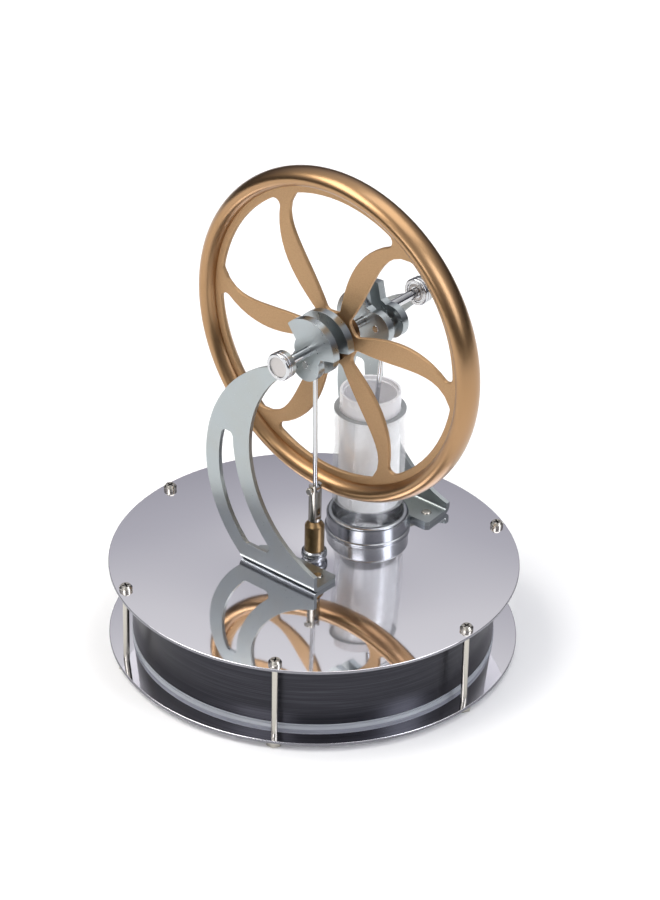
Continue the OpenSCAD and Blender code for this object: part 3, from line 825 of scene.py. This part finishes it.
class ENGINE_OT_flywheel(bpy.types.Operator):
    """The flywheel: a rounded turned rim, a blasted web of spokes, its hub and grub screw"""

    bl_idname = "engine.flywheel"
    bl_label = "Flywheel"

    def execute(self, context):
        centre = middle("flywheel_rim")
        low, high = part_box("flywheel_rim")
        depth = (high.y - low.y) / 2
        # The rim's section is an oval, opened on its inner side where the web's edge sits in its groove
        web = np.array(span("flywheel_web", 1)) - centre.y + np.array([-SEAM, SEAM])
        seat = outer_radius("flywheel_web") + SEAM
        ring = (high.x - low.x) / 2 - RIM_WIDTH / 2
        ends = np.pi - np.arcsin(web[::-1] / depth)
        t = np.linspace(ends[1] - 2 * np.pi, ends[0], 97)
        oval = np.stack([ring + RIM_WIDTH / 2 * np.cos(t), depth * np.sin(t)], -1)
        profile = np.concatenate([oval, [(seat, web[1]), (seat, web[0])]])
        piece = make_piece("flywheel_rim_turned", [turned(profile, centre, "Y", sizes().segments)], bronze_rim(), 40)
        stand_for(piece, "flywheel_rim")
        softened("flywheel_web", sizes().web_edge, bronze_web(), 3)
        # The hub's finish is bronze darkened as painted shade
        softened("flywheel_hub", 0.3 * MM, hub_bronze_painted_shade(), 3)
        dress("hub_grub_screw", black_oxide())
        return {"FINISHED"}


class ENGINE_OT_crankshaft(bpy.types.Operator):
    """Three axle lengths, four crank plates and the pins riveted in them"""

    bl_idname = "engine.crankshaft"
    bl_label = "Crankshaft"

    def execute(self, context):
        height = middle("main_axle").z
        for node in ("main_axle", "front_axle", "rear_axle"):
            low, high = span(node, 1)
            radius = outer_radius(node, (0,))
            profile = [(0, low), (radius, low), (radius, high), (0, high)]
            turned_piece(node, profile, ground_rod(), "Y", (0, 0, height), 0.2 * MM, 64)
        for crank in ("front", "rear"):
            for plate in ("_crank_outer_plate", "_crank_inner_plate"):
                softened(crank + plate, sizes().crank_edge, crank_plate(), 3)
            softened(crank + "_crank_pin", 0.12 * MM, ground_rod(), 2)
        return {"FINISHED"}


class ENGINE_OT_displacer(bpy.types.Operator):
    """The displacer: a foam disc with washers, its rod, fork and clevis pin"""

    bl_idname = "engine.displacer"
    bl_label = "Displacer"

    def execute(self, context):
        softened("displacer_disc", 0.6 * MM, rigid_foam(), 2)
        softened("displacer_washers", 0.1 * MM, screw_steel(), 2)
        low, high = span("displacer_rod", 2)
        radius = outer_radius("displacer_rod", ACROSS)
        profile = [(0, low), (radius, low), (radius, high), (0, high)]
        turned_piece("displacer_rod", profile, ground_rod(), edge=0.1 * MM, segments=48)
        softened("displacer_fork", 0.22 * MM, screw_steel(), 3)
        softened("clevis_pin", 0.25 * MM, screw_steel(), 3)
        return {"FINISHED"}


class ENGINE_OT_rods(bpy.types.Operator):
    """The two connecting rods and the bushes in their big ends"""

    bl_idname = "engine.rods"
    bl_label = "Connecting rods"

    def execute(self, context):
        for rod in ("displacer", "piston"):
            softened(rod + "_con_rod", 0.12 * MM, ground_rod(), 2)
            dress(rod + "_big_end_bush", gland_brass())
        return {"FINISHED"}


class ENGINE_OT_piston(bpy.types.Operator):
    """The deep white piston cup and its gudgeon pin"""

    bl_idname = "engine.piston"
    bl_label = "Power piston"

    def execute(self, context):
        softened("piston", 0.25 * MM, milky_polymer(), 3)
        dress("gudgeon_pin", ground_rod())
        return {"FINISHED"}


class ENGINE_OT_stage(bpy.types.Operator):
    """A pale floor, soft studio lights and the camera"""

    bl_idname = "engine.stage"
    bl_label = "Stage"

    def execute(self, context):
        scene = context.scene
        turn = np.linspace(0, 2 * np.pi, FLOOR_SIDES, endpoint=False)
        ring = np.stack([np.cos(turn), np.sin(turn), 0 * turn], -1)
        # Near floor, which the polished pieces mirror
        floor, shader = self.stand(scene, "floor", ring * FLOOR_R, [list(range(FLOOR_SIDES))], "pale studio floor", 0.9)
        shader.inputs["Specular IOR Level"].default_value = 0.1
        # A pale surround: a round floor that sweeps up into a wall, seen but not mirrored
        bend = np.linspace(0, np.pi / 2, 24)
        sweep = np.stack([3 + np.sin(bend), 1 - np.cos(bend)], -1)
        radius, height = np.concatenate([[(FLOOR_R, 0)], sweep, [(4, 5)]]).T
        points = ring[:, None] * radius[None, :, None] + height[None, :, None] * np.array([0, 0, 1])
        row = len(radius)
        i, j = np.meshgrid(np.arange(FLOOR_SIDES), np.arange(row - 1), indexing="ij")
        i2 = (i + 1) % FLOOR_SIDES
        faces = np.stack([i * row + j, i * row + j + 1, i2 * row + j + 1, i2 * row + j], -1).reshape(-1, 4)
        surround, shader = self.stand(scene, "surround", points.reshape(-1, 3), faces.tolist(), "lit studio wall", 1.0)
        surround.visible_glossy = surround.visible_diffuse = surround.visible_shadow = False
        shader.inputs["Emission Color"].default_value = scene.engine_stage.floor
        shader.inputs["Emission Strength"].default_value = 1.0
        self.light(scene, "key", (-0.55, -0.5, 1.25), 1.1, 0.7, 12.5, "#fffdf8")
        self.light(scene, "fill", (1.2, 0.2, 0.9), 0.5, 1.0, 6, "#f4f8ff")
        self.light(scene, "front", (0.25, -1.4, 0.8), 0.8, 0.4, 4, "#ffffff")
        self.light(scene, "top", (0.1, 0.5, 1.5), 1.0, 1.0, 7, "#ffffff")
        self.sky(scene)
        self.camera(scene, scene.engine_stage)
        scene.view_settings.view_transform = "Standard"
        return {"FINISHED"}

    def stand(self, scene, name, points, faces, finish, roughness):
        """A part of the studio in the floor's colour. Returns its object and its shader."""
        mesh = bpy.data.meshes.new(name)
        mesh.from_pydata(points, [], faces)
        material, tree, shader, place = start(finish, scene.engine_stage.floor, 0.0, roughness)
        mesh.materials.append(material)
        thing = bpy.data.objects.new(name, mesh)
        scene.collection.objects.link(thing)
        return thing, shader

    def light(self, scene, name, place, width, height, power, code):
        """A soft box that faces the engine."""
        data = bpy.data.lights.new(name, "AREA")
        data.shape, data.size, data.size_y, data.energy = "RECTANGLE", width, height, power
        data.color = linear(code)[:3]
        lamp = bpy.data.objects.new(name, data)
        lamp.location = place
        lamp.rotation_euler = (Vector((0, 0, AIM_HEIGHT)) - Vector(place)).to_track_quat("-Z", "Y").to_euler()
        scene.collection.objects.link(lamp)

    def sky(self, scene):
        """What the polished pieces mirror: a dark horizon, grey-lilac walls over it, and a ceiling that is
        white at its edge and grey overhead."""
        world = bpy.data.worlds.new("studio")
        scene.world = world
        world.use_nodes = True
        tree = world.node_tree
        way = add(tree, "ShaderNodeTexCoord").outputs["Generated"]
        parts = add(tree, "ShaderNodeSeparateXYZ", feed={"Vector": way}).outputs
        up = add(tree, "ShaderNodeMath", {1: 0.5, 2: 0.5}, {0: parts["Z"]}, operation="MULTIPLY_ADD").outputs[0]
        ramp = add(tree, "ShaderNodeValToRGB", feed={"Fac": up})
        band = ramp.color_ramp
        band.elements[0].position, band.elements[0].color = 0.0, linear("#c9c9cf")
        band.elements[1].position, band.elements[1].color = 1.0, linear("#b4b4bb")
        # Share of the way from straight down to straight up, and the shade there
        stops = (
            (0.4, "#8c8c92"), (0.47, "#2a2a2e"), (0.53, "#1c1c20"), (0.6, "#54545b"), (0.66, "#8a8a93"),
            (0.71, "#a9a8b0"), (0.755, "#bfbec5"), (0.79, "#dedde0"), (0.87, "#f6f6f8"),
        )
        for position, shade in stops:
            band.elements.new(position).color = linear(shade)
        # Softer and darker stretches of wall, three of each round the studio
        turn = add(tree, "ShaderNodeMath", feed={0: parts["Y"], 1: parts["X"]}, operation="ARCTAN2").outputs[0]
        wave = add(tree, "ShaderNodeMath", {1: 3.0, 2: math.radians(60)}, {0: turn}, operation="MULTIPLY_ADD")
        wave = add(tree, "ShaderNodeMath", feed={0: wave.outputs[0]}, operation="SINE").outputs[0]
        share = add(tree, "ShaderNodeMapRange", {"From Min": -1.0, "From Max": 1.0, "To Min": 0.6, "To Max": 1.0},
                    {"Value": wave}).outputs["Result"]
        sky = tree.nodes["Background"]
        tree.links.new(ramp.outputs["Color"], sky.inputs["Color"])
        tree.links.new(share, sky.inputs["Strength"])

    def camera(self, scene, stage):
        """The camera looks at a point set off from the origin across and up the picture."""
        a, e, r = stage.azimuth, stage.elevation, stage.roll
        back = Vector((math.sin(a) * math.cos(e), -math.cos(a) * math.cos(e), math.sin(e)))
        right = Vector((math.cos(a), math.sin(a), 0))
        up = back.cross(right)
        turn = Matrix.Rotation(r, 3, back)
        right, up = turn @ right, turn @ up
        base = Vector((0, 0, span("top_plate", 2)[1] - stage.plate_above_aim))
        eye = base + right * stage.aim_right + up * stage.aim_up + back * stage.distance
        data = bpy.data.cameras.new("camera")
        data.lens, data.sensor_width = stage.lens, 36
        data.clip_start, data.clip_end = 0.05, 20
        camera = bpy.data.objects.new("camera", data)
        camera.matrix_world = Matrix.Translation(eye) @ Matrix((right, up, back)).transposed().to_4x4()
        scene.collection.objects.link(camera)
        scene.camera = camera


class ENGINE_PT_panel(bpy.types.Panel):
    """Lists the engine's operators"""

    bl_label = "Stirling engine"
    bl_idname = "ENGINE_PT_panel"
    bl_space_type = "VIEW_3D"
    bl_region_type = "UI"
    bl_category = "Engine"

    def draw(self, context):
        for operator in OPERATORS:
            self.layout.operator(operator.bl_idname)


OPERATORS = (
    ENGINE_OT_plates, ENGINE_OT_chamber, ENGINE_OT_fasteners, ENGINE_OT_brackets, ENGINE_OT_bearings,
    ENGINE_OT_gland, ENGINE_OT_power_cylinder, ENGINE_OT_flywheel, ENGINE_OT_crankshaft, ENGINE_OT_displacer,
    ENGINE_OT_rods, ENGINE_OT_piston, ENGINE_OT_stage,
)
SETTINGS = {"engine_colours": EngineColours, "engine_sizes": EngineSizes, "engine_stage": StageSettings}


def register():
    for group in SETTINGS.values():
        bpy.utils.register_class(group)
    for name, group in SETTINGS.items():
        setattr(bpy.types.Scene, name, PointerProperty(type=group))
    for operator in (*OPERATORS, ENGINE_PT_panel):
        bpy.utils.register_class(operator)


def unregister():
    for operator in (ENGINE_PT_panel, *reversed(OPERATORS)):
        bpy.utils.unregister_class(operator)
    for name in SETTINGS:
        delattr(bpy.types.Scene, name)
    for group in SETTINGS.values():
        bpy.utils.unregister_class(group)


def main():
    """Builds every piece and the stage."""
    register()
    for operator in OPERATORS:
        group, action = operator.bl_idname.split(".")
        getattr(getattr(bpy.ops, group), action)()


if __name__ == "__main__":
    main()
